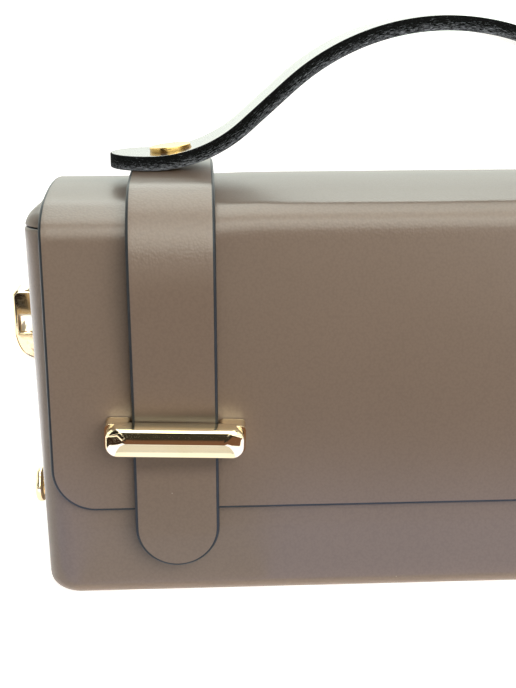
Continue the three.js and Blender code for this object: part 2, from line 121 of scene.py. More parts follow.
def calfLeather(name, roughness, coat):
    # Drum-dyed calf under a thin acrylic coat: an even taupe with a wide soft gleam at low angles,
    # and a fine pebble that shows mainly where the leather bends
    material, tree = newMaterial(name)
    place = addNode(tree, "ShaderNodeTexCoord").outputs["Object"]
    bend = addNode(tree, "ShaderNodeAttribute", {"attribute_name": "bend"}).outputs["Fac"]
    rub = addNode(tree, "ShaderNodeAttribute", {"attribute_name": "rub"}).outputs["Fac"]
    mottle = addNode(tree, "ShaderNodeTexNoise", None,
                     {"Vector": place, "Scale": 1 / (leatherLook["mottle"] * mm), "Detail": 4.0})
    cells = addNode(tree, "ShaderNodeTexVoronoi", {"feature": "SMOOTH_F1"},
                    {"Vector": place, "Scale": 1 / (leatherLook["grain"] * mm), "Smoothness": 0.35})
    pores = addNode(tree, "ShaderNodeTexNoise", None,
                    {"Vector": place, "Scale": 1 / (leatherLook["pore"] * mm), "Detail": 2.0})
    specks = addNode(tree, "ShaderNodeTexVoronoi", {"feature": "F1"},
                     {"Vector": place, "Scale": 1 / (leatherLook["speckSpacing"] * mm)})
    speckReach = leatherLook["speckSize"] / leatherLook["speckSpacing"]
    speck = addNode(tree, "ShaderNodeMapRange", None,
                    {"Value": specks.outputs["Distance"],
                     "From Min": speckReach, "From Max": 0.4 * speckReach})
    tones = addNode(tree, "ShaderNodeMix", {"data_type": "RGBA"},
                    {0: mottle.outputs["Fac"], 6: linear(leatherLook["taupeShade"]),
                     7: linear(leatherLook["taupe"])})
    grooves = addNode(tree, "ShaderNodeMapRange", None,
                      {"Value": cells.outputs["Distance"], "From Min": 0.35, "From Max": 0.75,
                       "To Min": 0.0, "To Max": 0.10})
    dyed = addNode(tree, "ShaderNodeMix", {"data_type": "RGBA", "blend_type": "MULTIPLY"},
                   {0: grooves.outputs["Result"], 6: tones.outputs[2], 7: linear(leatherLook["groove"])})
    dusty = addNode(tree, "ShaderNodeMix", {"data_type": "RGBA"},
                    {0: speck.outputs["Result"], 6: dyed.outputs[2], 7: linear(leatherLook["dust"])})
    # Painted shade: the colour darkens to a dark brown where the strips carry the rub attribute, above and
    # below the bar loops
    barShaded = addNode(tree, "ShaderNodeMix", {"data_type": "RGBA"},
                   {0: rub, 6: dusty.outputs[2], 7: linear(leatherLook["rubbed"])})
    rough = addNode(tree, "ShaderNodeMapRange", None,
                    {"Value": pores.outputs["Fac"], "From Min": 0.3, "From Max": 0.7,
                     "To Min": roughness - leatherLook["roughSpread"],
                     "To Max": roughness + leatherLook["roughSpread"]})
    grainLift = addNode(tree, "ShaderNodeMath", {"operation": "MULTIPLY_ADD"},
                        {0: bend, 1: 0.4, 2: 0.08})
    pebble = addNode(tree, "ShaderNodeBump", {"invert": True},
                     {"Height": cells.outputs["Distance"], "Strength": grainLift.outputs[0],
                      "Distance": 0.10 * mm})
    fine = addNode(tree, "ShaderNodeBump", None,
                   {"Height": pores.outputs["Fac"], "Strength": 0.1, "Distance": 0.06 * mm,
                    "Normal": pebble.outputs["Normal"]})
    skin = addNode(tree, "ShaderNodeBsdfPrincipled", None,
                   {"Base Color": barShaded.outputs[2], "Roughness": rough.outputs["Result"],
                    "Normal": fine.outputs["Normal"], "IOR": 1.5, "Coat Weight": coat, "Coat Roughness": 0.1})
    addNode(tree, "ShaderNodeOutputMaterial", None, {"Surface": skin.outputs[0]})
    return material


def edgePaint():
    # Blue-black acrylic edge paint, wiped on by hand: a thin satin bead of slightly uneven depth
    material, tree = newMaterial("edge paint")
    place = addNode(tree, "ShaderNodeTexCoord").outputs["Object"]
    uneven = addNode(tree, "ShaderNodeTexNoise", None,
                     {"Vector": place, "Scale": 1 / (1.6 * mm), "Detail": 3.0})
    tint = addNode(tree, "ShaderNodeMix", {"data_type": "RGBA"},
                   {0: uneven.outputs["Fac"], 6: linear("#16181a"), 7: linear("#262b30")})
    bead = addNode(tree, "ShaderNodeBump", None,
                   {"Height": uneven.outputs["Fac"], "Strength": 0.3, "Distance": 0.15 * mm})
    paint = addNode(tree, "ShaderNodeBsdfPrincipled", None,
                    {"Base Color": tint.outputs[2], "Roughness": 0.42, "Specular IOR Level": 0.3,
                     "Normal": bead.outputs["Normal"]})
    addNode(tree, "ShaderNodeOutputMaterial", None, {"Surface": paint.outputs[0]})
    return material


def rawEdge():
    # Dyed but unpolished cut edge of thick leather: black, with frayed grey fibres lying along the strip.
    # Real fibres are under 0.1 mm, drawn here at 0.2 mm so that they show
    material, tree = newMaterial("dyed cut edge")
    flat = addNode(tree, "ShaderNodeAttribute", {"attribute_name": "flat"}).outputs["Vector"]
    fibre = 1 / (0.2 * mm)
    lay = addNode(tree, "ShaderNodeMapping", None,
                  {"Vector": flat, "Rotation": (0, math.radians(12), 0),
                   "Scale": (fibre * 0.12, fibre * 0.3, fibre)})
    strands = addNode(tree, "ShaderNodeTexNoise", None,
                      {"Vector": lay.outputs[0], "Scale": 1.0, "Detail": 5.0,
                       "Roughness": 0.7, "Distortion": 0.8})
    layers = addNode(tree, "ShaderNodeSeparateXYZ", None, {0: flat})
    lower = addNode(tree, "ShaderNodeMapRange", None,
                    {"Value": layers.outputs["Z"], "From Min": 0.0, "From Max": 3.4 * mm,
                     "To Min": 0.07, "To Max": -0.12})
    raised = addNode(tree, "ShaderNodeMath", {"operation": "ADD"},
                     {0: strands.outputs["Fac"], 1: lower.outputs["Result"]})
    frayed = addNode(tree, "ShaderNodeMapRange", None,
                     {"Value": raised.outputs[0], "From Min": 0.48, "From Max": 0.74})
    tint = addNode(tree, "ShaderNodeMix", {"data_type": "RGBA"},
                   {0: frayed.outputs["Result"], 6: linear("#060706"), 7: linear("#a0a4a8")})
    nap = addNode(tree, "ShaderNodeBump", None,
                  {"Height": strands.outputs["Fac"], "Strength": 0.8, "Distance": 0.3 * mm})
    edge = addNode(tree, "ShaderNodeBsdfPrincipled", None,
                   {"Base Color": tint.outputs[2], "Roughness": 0.85, "Specular IOR Level": 0.06,
                    "Normal": nap.outputs["Normal"]})
    addNode(tree, "ShaderNodeOutputMaterial", None, {"Surface": edge.outputs[0]})
    return material


def goldPlate(name, shade, light, roughness):
    # Polished zinc casting under gold plate: a clear mirror, softened by faint polishing waves
    material, tree = newMaterial(name)
    place = addNode(tree, "ShaderNodeTexCoord").outputs["Object"]
    waves = addNode(tree, "ShaderNodeTexNoise", None, {"Vector": place, "Scale": 1 / (7 * mm), "Detail": 1.0})
    haze = addNode(tree, "ShaderNodeTexNoise", None,
                   {"Vector": place, "Scale": 1 / (0.9 * mm), "Detail": 3.0})
    rough = addNode(tree, "ShaderNodeMapRange", None,
                    {"Value": haze.outputs["Fac"], "From Min": 0.35, "From Max": 0.75,
                     "To Min": roughness - 0.03, "To Max": roughness + 0.03})
    tint = addNode(tree, "ShaderNodeMix", {"data_type": "RGBA"},
                   {0: waves.outputs["Fac"], 6: linear(shade), 7: linear(light)})
    polish = addNode(tree, "ShaderNodeBump", None,
                     {"Height": waves.outputs["Fac"], "Strength": 0.05, "Distance": 0.2 * mm})
    metal = addNode(tree, "ShaderNodeBsdfPrincipled", None,
                    {"Base Color": tint.outputs[2], "Roughness": rough.outputs["Result"], "Metallic": 1.0,
                     "Normal": polish.outputs["Normal"]})
    addNode(tree, "ShaderNodeOutputMaterial", None, {"Surface": metal.outputs[0]})
    return material


def suedeLining():
    # Split suede glued inside the shell: matt, short nap, a shade lighter than the outside
    material, tree = newMaterial("suede lining")
    place = addNode(tree, "ShaderNodeTexCoord").outputs["Object"]
    nap = addNode(tree, "ShaderNodeTexNoise", None, {"Vector": place, "Scale": 1 / (0.6 * mm), "Detail": 5.0})
    tint = addNode(tree, "ShaderNodeMix", {"data_type": "RGBA"},
                   {0: nap.outputs["Fac"], 6: linear("#83766a"), 7: linear("#978a7d")})
    pile = addNode(tree, "ShaderNodeBump", None,
                   {"Height": nap.outputs["Fac"], "Strength": 0.5, "Distance": 0.2 * mm})
    suede = addNode(tree, "ShaderNodeBsdfPrincipled", None,
                    {"Base Color": tint.outputs[2], "Roughness": 0.9, "Sheen Weight": 0.3,
                     "Normal": pile.outputs["Normal"]})
    addNode(tree, "ShaderNodeOutputMaterial", None, {"Surface": suede.outputs[0]})
    return material


calf = calfLeather("taupe calf leather", leatherLook["roughness"], 0.0)
handleCalf = calfLeather("polished taupe calf leather",
                         leatherLook["handleRoughness"], leatherLook["handleCoat"])
paint = edgePaint()
cutEdge = rawEdge()
gold = goldPlate("pale gold plate", "#f3ddb2", "#fae8c6", 0.08)
# a darker, rougher copy of the same gold plate, used for the handle studs
rivetGold = goldPlate("worn gold plate", "#c6a05a", "#d4b06c", 0.2)
lining = suedeLining()
print("materials made")


# Leather strips: a flat blank is cut with rounded tips and edges, then bent along its path

def traceBends(corners):  # path length, and where each rounded corner begins and ends
    points = [Vector(c[:2]) for c in corners]
    reached, bends, used = 0.0, [], 0.0
    for i in range(1, len(points)):
        span = (points[i] - points[i - 1]).length
        if i + 1 == len(points):
            return reached + span - used, bends
        back, ahead = (points[i - 1] - points[i]).normalized(), (points[i + 1] - points[i]).normalized()
        half = back.angle(ahead) / 2
        cut = corners[i][2] / math.tan(half)
        begin = reached + span - used - cut
        end = begin + corners[i][2] * (math.pi - 2 * half)
        bends.append((begin, end, corners[i][2]))
        reached, used = end, cut


def bendShare(along, bends, tightest=30, fade=5):  # 1 inside a tight bend, fading out beside it
    share = np.zeros_like(along)
    for begin, end, radius in bends:
        if radius < tightest:
            away = np.maximum(np.maximum(begin - along, along - end), 0)
            share = np.maximum(share, np.clip(1 - away / fade, 0, 1))
    return share


def cutBlank(name, cut, length, bends, creases):  # x along, y across, z through, all in mm until the end
    half, thick, tip = cut["halfWidth"], cut["thickness"], cut["tipRadius"]
    turn = np.linspace(0, math.pi / 2, cut["edgeSteps"] + 1)
    inset = cut["edgeDepth"] * (1 - np.sin(turn))
    height = thick - cut["edgeDrop"] * (1 - np.cos(turn))
    profile = list(zip(inset, height)) + list(zip(inset[::-1], (thick - height)[::-1]))
    shares = np.linspace(-1, 1, cut["columns"])
    top = [(u, cut["edgeDepth"], thick) for u in shares]
    right = [(1, e, t) for e, t in profile[1:-1]]
    under = [(u, cut["edgeDepth"], 0) for u in shares[::-1]]
    left = [(-1, e, t) for e, t in profile[-2:0:-1]]
    section = np.array(top + right + under + left)
    u, e, t = section.T
    isEdge = np.zeros(len(section), bool)  # the face from this column to the next is painted
    isEdge[len(top) - 1:len(top) + len(right)] = True
    isEdge[len(top) + len(right) + len(under) - 1:] = True
    rows = []
    tipTurns = np.linspace(0, math.pi / 2, cut["tipSteps"] + 1)
    middle = np.linspace(tip, length - tip, int((length - 2 * tip) / cut["rowStep"]) + 2)[1:-1]
    for angle in tipTurns:
        rows.append((e + (tip - e) * (1 - math.cos(angle)), half - e - (tip - e) * (1 - math.sin(angle))))
    dips = np.array([-1.4, -1.0, -0.7, -0.35, 0, 0.35, 0.7, 1.0, 1.4])  # in crease widths
    closeRows = [crease + dips * cut["creaseWidth"] for crease in creases]
    for x in np.sort(np.concatenate([middle, *closeRows])):
        rows.append((np.full(len(e), x), half - e))
    for angle in tipTurns[::-1]:
        rows.append((length - e - (tip - e) * (1 - math.cos(angle)),
                     half - e - (tip - e) * (1 - math.sin(angle))))
    verts = []
    sharpTo, roundFrom = cut["changeover"]
    for x, wide in rows:
        fading = np.clip((roundFrom - np.abs(u * wide)) / (roundFrom - sharpTo), 0, 1)
        pressed = sum(np.exp(-((x - crease) / cut["creaseWidth"] * 2) ** 2) * fading for crease in creases)
        verts.append(np.stack([x, u * wide, t - cut["creaseDepth"] * pressed * (t > thick / 2)], 1))
    count = len(section)
    faces, painted = [], []
    for row in range(len(rows) - 1):
        for i in range(count):
            a, b = row * count + i, row * count + (i + 1) % count
            faces.append((a, b, b + count, a + count))
            painted.append(isEdge[i])
    if half > tip:  # straight ends between rounded corners get a wall of their own
        for end in (0, 1):
            base = sum(len(v) for v in verts)
            e2, t2 = np.array(profile).T
            x = length - e2 if end else e2
            wall = np.stack([np.repeat(x, len(shares)), np.tile(shares * (half - tip), len(x)),
                             np.repeat(t2, len(shares))], 1)
            verts.append(wall)
            for row in range(len(x) - 1):
                for i in range(len(shares) - 1):
                    a = base + row * len(shares) + i
                    faces.append((a, a + 1, a + 1 + len(shares), a + len(shares)))
                    painted.append(True)
    blank = makeObject(name, np.concatenate(verts) * mm, faces, (), painted)
    mesh = blank.data
    edge = mesh.attributes.new("edge", "BOOLEAN", "FACE")
    index = np.zeros(len(mesh.polygons), np.int32)
    mesh.polygons.foreach_get("material_index", index)
    edge.data.foreach_set("value", index > 0)
    mesh.polygons.foreach_set("material_index", np.zeros_like(index))
    place = np.zeros(len(mesh.vertices) * 3, np.float32)
    mesh.vertices.foreach_get("co", place)
    along = place.reshape(-1, 3)[:, 0] / mm
    share = bendShare(along, bends)
    mesh.attributes.new("bend", "FLOAT", "POINT").data.foreach_set("value", share.astype(np.float32))
    if "rub" in cut:  # painted shade on the strip: where along the strip, how wide, how dark
        rubbed = sum(depth * np.exp(-((along - where) / wide) ** 2) for where, wide, depth in cut["rub"])
        mesh.attributes.new("rub", "FLOAT", "POINT").data.foreach_set("value", rubbed.astype(np.float32))
    return blank


def bendTree():  # Geometry Nodes: lays a flat blank along a path whose corners are rounded
    tree = bpy.data.node_groups.new("bendLeather", "GeometryNodeTree")
    for name, kind in (("Blank", "Geometry"), ("Path", "Object"), ("End Path", "Object"), ("Middle", "Float"),
                       ("Ends", "Float"), ("Across", "Vector"), ("Lift", "Float"),
                       ("Ripple", "Float"), ("Ripple Size", "Float"), ("Seed", "Float"),
                       ("Face", "Material"), ("Edge", "Material")):
        tree.interface.new_socket(name=name, in_out="INPUT", socket_type="NodeSocket" + kind)
    tree.interface.new_socket(name="Leather", in_out="OUTPUT", socket_type="NodeSocketGeometry")
    given = addNode(tree, "NodeGroupInput").outputs
    flat = addNode(tree, "GeometryNodeInputPosition")
    kept = addNode(tree, "GeometryNodeStoreNamedAttribute", {"data_type": "FLOAT_VECTOR", "domain": "POINT"},
                   {"Geometry": given["Blank"], "Name": "flat", "Value": flat.outputs[0]})
    parts = addNode(tree, "ShaderNodeSeparateXYZ", None, {0: flat.outputs[0]})
    beyond = addNode(tree, "ShaderNodeMath", {"operation": "ABSOLUTE"}, {0: parts.outputs["Y"]})
    towardsEnd = addNode(tree, "ShaderNodeMapRange", {"interpolation_type": "SMOOTHSTEP"},
                         {"Value": beyond.outputs[0], "From Min": given["Middle"], "From Max": given["Ends"]})
    spots = []
    for way in ("Path", "End Path"):
        line = addNode(tree, "GeometryNodeObjectInfo", None, {"Object": given[way]})
        radius = addNode(tree, "GeometryNodeInputRadius")
        rounded = addNode(tree, "GeometryNodeFilletCurve", {"mode": "POLY"},
                          {"Curve": line.outputs["Geometry"], "Count": 48, "Radius": radius.outputs[0]})
        even = addNode(tree, "GeometryNodeResampleCurve", {"mode": "LENGTH"},
                       {"Curve": rounded.outputs[0], "Length": 0.4 * mm})
        spots.append(addNode(tree, "GeometryNodeSampleCurve", {"mode": "LENGTH", "use_all_curves": True},
                             {"Curves": even.outputs[0], "Length": parts.outputs["X"]}))
    position, tangent = (addNode(tree, "ShaderNodeMix", {"data_type": "VECTOR"},
                                 {0: towardsEnd.outputs["Result"], 4: spots[0].outputs[kind],
                                  5: spots[1].outputs[kind]}).outputs[1] for kind in ("Position", "Tangent"))
    out = addNode(tree, "ShaderNodeVectorMath", {"operation": "CROSS_PRODUCT"},
                  {0: given["Across"], 1: tangent})
    outward = addNode(tree, "ShaderNodeVectorMath", {"operation": "NORMALIZE"}, {0: out.outputs[0]})
    sheet = addNode(tree, "ShaderNodeCombineXYZ", None, {"X": parts.outputs["X"], "Y": parts.outputs["Y"]})
    pitch = addNode(tree, "ShaderNodeMath", {"operation": "DIVIDE"}, {0: 1.0, 1: given["Ripple Size"]})
    soft = addNode(tree, "ShaderNodeTexNoise", {"noise_dimensions": "4D"},
                   {"Vector": sheet.outputs[0], "W": given["Seed"], "Scale": pitch.outputs[0], "Detail": 1.0})
    centred = addNode(tree, "ShaderNodeMath", {"operation": "SUBTRACT"}, {0: soft.outputs["Fac"], 1: 0.5})
    uneven = addNode(tree, "ShaderNodeMath", {"operation": "MULTIPLY_ADD"},
                     {0: centred.outputs[0], 1: given["Ripple"], 2: given["Lift"]})
    through = addNode(tree, "ShaderNodeMath", {"operation": "ADD"},
                      {0: parts.outputs["Z"], 1: uneven.outputs[0]})
    sideways = addNode(tree, "ShaderNodeVectorMath", {"operation": "SCALE"},
                       {0: given["Across"], "Scale": parts.outputs["Y"]})
    raised = addNode(tree, "ShaderNodeVectorMath", {"operation": "SCALE"},
                     {0: outward.outputs[0], "Scale": through.outputs[0]})
    beside = addNode(tree, "ShaderNodeVectorMath", None, {0: position, 1: sideways.outputs[0]})
    laid = addNode(tree, "ShaderNodeVectorMath", None, {0: beside.outputs[0], 1: raised.outputs[0]})
    bent = addNode(tree, "GeometryNodeSetPosition", None,
                   {"Geometry": kept.outputs[0], "Position": laid.outputs[0]})
    edge = addNode(tree, "GeometryNodeInputNamedAttribute", {"data_type": "BOOLEAN"}, {"Name": "edge"})
    real = addNode(tree, "GeometryNodeRealizeInstances", None, {"Geometry": bent.outputs[0]})
    faced = addNode(tree, "GeometryNodeSetMaterial", None,
                    {"Geometry": real.outputs[0], "Material": given["Face"]})
    edged = addNode(tree, "GeometryNodeSetMaterial", None,
                    {"Geometry": faced.outputs[0], "Selection": edge.outputs["Attribute"],
                     "Material": given["Edge"]})
    addNode(tree, "NodeGroupOutput", None, {0: edged.outputs[0]})
    return tree


bendLeather = bendTree()


def drawPath(name, corners, place):  # place turns (along, z) into a point
    line = bpy.data.curves.new(name, "CURVE")
    line.dimensions = "3D"
    spline = line.splines.new("POLY")
    spline.points.add(len(corners) - 1)
    for point, corner in zip(spline.points, corners):
        point.co = (*(c * mm for c in place(*corner[:2])), 1)
        point.radius = corner[2] * mm if len(corner) > 2 else 0
    path = bpy.data.objects.new(name, line)
    scene.collection.objects.link(path)
    return path


def bendStrip(name, cut, corners, place, across, faceMaterial, edgeMaterial, endCorners=None):
    length, bends = traceBends(corners)
    creases = [bends[i][0] + share * (bends[i][1] - bends[i][0]) for i, share in cut["creases"]]
    strip = cutBlank(name, cut, length, bends, creases)
    path = drawPath(name + "_path", corners, place)
    endPath = drawPath(name + "_end_path", endCorners or corners, place)
    middle, ends = cut["changeover"]
    sockets = {s.name: s.identifier for s in bendLeather.interface.items_tree if s.in_out == "INPUT"}
    modifier = strip.modifiers.new("bend", "NODES")
    modifier.node_group = bendLeather
    for socket, value in {"Path": path, "End Path": endPath, "Middle": middle * mm, "Ends": ends * mm,
                          "Across": across, "Lift": cut["lift"] * mm,
                          "Ripple": cut["ripple"] * mm, "Ripple Size": cut["rippleSize"] * mm,
                          "Seed": cut["seed"], "Face": faceMaterial, "Edge": edgeMaterial}.items():
        modifier[sockets[socket]] = value
    applyModifiers(strip)
    bpy.data.objects.remove(path)
    bpy.data.objects.remove(endPath)
    return strip


flapCut = {
    "halfWidth": 121, "thickness": 2, "tipRadius": 13.5, "frontEdge": 30, "backEdge": 48, "standOff": 35.8,
    "shoulder": (118.9, 3.8), "bend": (31.4, 121.8, 4), "crown": (125.9, 150),
    "endShoulder": (117.1, 3.5), "endBend": (28.85, 121.3, 24), "endCrown": (125.45, 150),
    "changeover": (55, 95),  # how far out the sharper fold starts to soften, and has become round
    "creases": ((1, 0.85),), "creaseWidth": 0.9, "creaseDepth": 0.03,  # which bend, how far round it
    "edgeDepth": 0.95, "edgeDrop": 1.0, "edgeSteps": 5, "tipSteps": 14, "columns": 140, "rowStep": 1.5,
    "lift": 0, "ripple": 0.25, "rippleSize": 60, "seed": 3.0,
}


def flapPath(shoulder, bend, crown):  # along the depth and up, then the radius of the corner
    return [(-flapCut["standOff"], flapCut["frontEdge"]), (-flapCut["standOff"], *shoulder),
            (-bend[0], *bend[1:]), (0, *crown), bend,
            (flapCut["standOff"], *shoulder), (flapCut["standOff"], flapCut["backEdge"])]


flap = bendStrip("wrapped_flap", flapCut, flapPath(flapCut["shoulder"], flapCut["bend"], flapCut["crown"]),
                 lambda a, z: (0, a, z), (1, 0, 0), calf, paint,
                 flapPath(flapCut["endShoulder"], flapCut["endBend"], flapCut["endCrown"]))
finishPiece(flap, "smooth_leather", "flap")

strapCut = {
    "x": 83, "halfWidth": 12.8, "thickness": 3.9, "tipRadius": 12.8, "tip": 13, "standOff": 38.1,
    "tuck": (65, 30), "bow": (41.6, 104, 60), "shoulder": (40.2, 124.2, 16), "crown": (127.44, 250),
    "backEnd": 62, "rub": ((48.0, 2.5, 0.9), (33.4, 2.6, 0.45)),  # painted shade, dark on the strap above and below the bar where the bar shades it
    "creases": (), "creaseWidth": 1, "creaseDepth": 0, "changeover": (0, 1),
    "edgeDepth": 0.9, "edgeDrop": 1.1, "edgeSteps": 5, "tipSteps": 18, "columns": 20, "rowStep": 1.2,
    "lift": 0, "ripple": 0.2, "rippleSize": 30, "seed": 8.0,
}
bowOut, *bow = strapCut["bow"]
shoulderOut, *shoulder = strapCut["shoulder"]
strapCorners = [
    (-strapCut["standOff"], strapCut["tip"]),
    (-strapCut["standOff"], *strapCut["tuck"]),
    (-bowOut, *bow),
    (-shoulderOut, *shoulder),
    (0, *strapCut["crown"]),
    (shoulderOut, *shoulder),
    (bowOut, *bow),
    (strapCut["standOff"], strapCut["backEnd"]),
]
for side, sign in (("left", -1), ("right", 1)):
    strap = bendStrip(side + "_strap", dict(strapCut, seed=strapCut["seed"] + sign), strapCorners,
                      lambda a, z: (sign * strapCut["x"], a, z), (1, 0, 0), calf, paint)
    finishPiece(strap, "smooth_leather", "strap_" + side)

handleCut = {
    "halfWidth": 12.75, "thickness": 4.4, "tipRadius": 12.75, "tipX": 102.3, "top": 134.85,
    "footX": 73.8, "footRadius": 41.6, "slope": 41.6, "archRadius": 73, "creases": (), "creaseWidth": 1,
    "creaseDepth": 0, "changeover": (0, 1),
    "edgeDepth": 0.35, "edgeDrop": 0.35, "edgeSteps": 4, "tipSteps": 18, "columns": 20, "rowStep": 1.2,
    "lift": -4.4, "ripple": 0.15, "rippleSize": 40, "seed": 5.0,
}
peak = handleCut["top"] + handleCut["footX"] * math.tan(math.radians(handleCut["slope"]))
handleCorners = [
    (-handleCut["tipX"], handleCut["top"]),
    (-handleCut["footX"], handleCut["top"], handleCut["footRadius"]),
    (0, peak, handleCut["archRadius"]),
    (handleCut["footX"], handleCut["top"], handleCut["footRadius"]),
    (handleCut["tipX"], handleCut["top"]),
]
handle = bendStrip("carry_handle", handleCut, handleCorners, lambda a, z: (a, 0, z), (0, -1, 0),
                   handleCalf, cutEdge)
finishPiece(handle, "handle_leather", "handle")


# Moulded shells: rings of rounded rectangles, skinned

def roundedRing(halfA, halfB, radius, cornerSteps=12, longSteps=56, shortSteps=16):
    points = []
    for corner in range(4):
        a = (halfA - radius) * (1 if corner in (0, 3) else -1)
        b = (halfB - radius) * (1 if corner < 2 else -1)
        for step in range(cornerSteps + 1):
            angle = (corner + step / cornerSteps) * math.pi / 2
            points.append((a + radius * math.cos(angle), b + radius * math.sin(angle)))
        steps = longSteps if corner % 2 == 0 else shortSteps
        for step in range(1, steps):
            share = 1 - 2 * step / steps
            points.append((a * share, b + math.copysign(radius, b)) if corner % 2 == 0
                          else (a + math.copysign(radius, a), b * share))
    return np.array(points)


def skinRings(rings, marks):  # marks[i] is the material of the band after ring i; both ends are closed
    count = len(rings[0])
    faces, materialOf = [], []
    for row in range(len(rings) - 1):
        for i in range(count):
            a, b = row * count + i, row * count + (i + 1) % count
            faces.append((a, b, b + count, a + count))
            materialOf.append(marks[row])
    for row, mark in ((0, marks[0]), (len(rings) - 1, marks[-1])):
        faces.append(tuple(row * count + i for i in range(count)))
        materialOf.append(mark)
    return np.concatenate(rings), faces, materialOf


bodyShell = {
    "halfWidth": 126.3, "halfDepth": 35.4, "height": 116.8, "wall": 2.4, "endTaper": 2, "corner": 10,
    "baseX": 5.4, "baseY": 4.4, "baseZ": 5, "baseSteps": 10, "wallRows": 24, "rim": 1.1, "rimSteps": 5,
}


def bodyRing(insetX, insetY, z):
    half = bodyShell["halfWidth"] - bodyShell["endTaper"] * (1 - z / bodyShell["height"])
    outline = roundedRing(half - insetX, bodyShell["halfDepth"] - insetY, bodyShell["corner"] - insetY)
    return np.column_stack([outline, np.full(len(outline), z)])


def bodyRings():  # base edge, up the outside, over the painted rim, down the lining
    b = bodyShell
    rings, marks = [], []
    for angle in np.linspace(0, math.pi / 2, b["baseSteps"] + 1):
        share = 1 - math.sin(angle)
        rings.append(bodyRing(b["baseX"] * share, b["baseY"] * share, b["baseZ"] * (1 - math.cos(angle))))
        marks.append(0)
    for z in np.linspace(b["baseZ"], b["height"] - b["rim"], b["wallRows"] + 1)[1:]:
        rings.append(bodyRing(0, 0, z))
        marks.append(0)
    for angle in np.linspace(0, math.pi / 2, b["rimSteps"] + 1)[1:]:
        inset = b["rim"] * (1 - math.cos(angle))
        rings.append(bodyRing(inset, inset, b["height"] - b["rim"] * (1 - math.sin(angle))))
        marks.append(0)
    marks[-2:] = [1, 1]
    for angle in np.linspace(math.pi / 2, 0, b["rimSteps"] + 1):
        inset = b["wall"] - b["rim"] * (1 - math.cos(angle))
        rings.append(bodyRing(inset, inset, b["height"] - b["rim"] * (1 - math.sin(angle))))
        marks.append(1)
    marks[-1] = 2
    for angle in np.linspace(math.pi / 2, 0, b["baseSteps"] + 1):
        share = 1 - math.sin(angle)
        rings.append(bodyRing(b["wall"] + (b["baseX"] - b["wall"]) * share,
                              b["wall"] + (b["baseY"] - b["wall"]) * share,
                              b["wall"] + (b["baseZ"] - b["wall"]) * (1 - math.cos(angle))))
        marks.append(2)
    return rings, marks


verts, faces, materialOf = skinRings(*bodyRings())
body = makeObject("moulded_body", verts * mm, faces, (calf, paint, lining), materialOf)
finishPiece(body, "smooth_leather", "body")

lidTray = {
    "halfWidth": 126.3, "halfDepth": 35.4, "corner": 10, "rim": 117.1, "top": 121, "wall": 2,
    "crown": 1.5, "ridge": 1,
    "ends": (5, 116, 5), "front": (12.5, 112.5, 2),  # inset, height where the rounding starts, squareness
    "pinch": (4, 26),  # how far the top of the ends is drawn in, over how much of the depth
    "roundSteps": 12, "topSteps": 14,
}


def lidRing(insetX, insetY, z, lift):
    t = lidTray
    halfDepth = t["halfDepth"] - insetY
    outline = roundedRing(t["halfWidth"] - insetX, halfDepth, min(t["corner"], halfDepth - t["ridge"] / 4))
    drawnIn = lift * t["pinch"][0] * np.clip(1 - (outline[:, 1] / t["pinch"][1]) ** 2, 0, 1)
    outline[:, 0] *= 1 - drawnIn / t["halfWidth"]
    crown = t["crown"] * np.maximum(0, 1 - (outline[:, 1] / (t["halfDepth"] - t["front"][0])) ** 2)
    return np.column_stack([outline, z + lift * crown])


def roundedAway(rounding, z, depth):  # how far the edge has rounded away at a height
    inset, start, power = rounding
    share = min(1, (z - start) / (lidTray["top"] - depth - start))
    return depth + (inset - depth) * (1 - (1 - share ** power) ** (1 / power))


def lidFace(depth):  # from the rim to the middle of one face
    t = lidTray
    top = t["top"] - depth
    rings = []
    for angle in np.linspace(0, math.pi / 2, t["roundSteps"] + 1):
        z = t["rim"] + (top - t["rim"]) * math.sin(angle)
        insetX, insetY = (roundedAway(t[edge], z, depth) for edge in ("ends", "front"))
        rings.append(lidRing(insetX, insetY, z, math.sin(angle)))
    reach = t["halfDepth"] - t["front"][0] - t["ridge"]
    for further in np.linspace(0, reach, t["topSteps"] + 1)[1:]:
        rings.append(lidRing(t["ends"][0] + further, t["front"][0] + further, top, 1))
    return rings


inner, outer = lidFace(lidTray["wall"]), lidFace(0)
rings = inner[::-1] + outer
marks = [2] * (len(inner) - 1) + [1] + [0] * len(outer)
verts, faces, materialOf = skinRings(rings, marks)
lid = makeObject("lid_tray", verts * mm, faces, (calf, paint, lining), materialOf)
finishPiece(lid, "smooth_leather", "lid")


# Metal fittings

def evenFacets(obj, bevelWidth=0, segments=3, angle=24):  # narrow bevels, and flats that mirror as flats
    if bevelWidth:
        bevel = obj.modifiers.new("bevel", "BEVEL")
        bevel.width = bevelWidth * mm
        bevel.segments = segments
        bevel.limit_method = "ANGLE"
        bevel.angle_limit = math.radians(angle)
    flats = obj.modifiers.new("flats", "WEIGHTED_NORMAL")
    flats.mode = "FACE_AREA"
    flats.weight = 90
    applyModifiers(obj)


def lathe(profile, sides=64):  # rings round Z from (radius, height) pairs
    turn = np.linspace(0, 2 * math.pi, sides, endpoint=False)
    return [np.column_stack([r * np.cos(turn), r * np.sin(turn), np.full(sides, h)]) for r, h in profile]


def joinMeshes(name, parts, materials):  # parts are (verts, faces) in mm
    verts, faces = [], []
    for partVerts, partFaces in parts:
        base = sum(len(v) for v in verts)
        verts.append(partVerts)
        faces += [tuple(base + i for i in face) for face in partFaces]
    return makeObject(name, np.concatenate(verts) * mm, faces, materials)


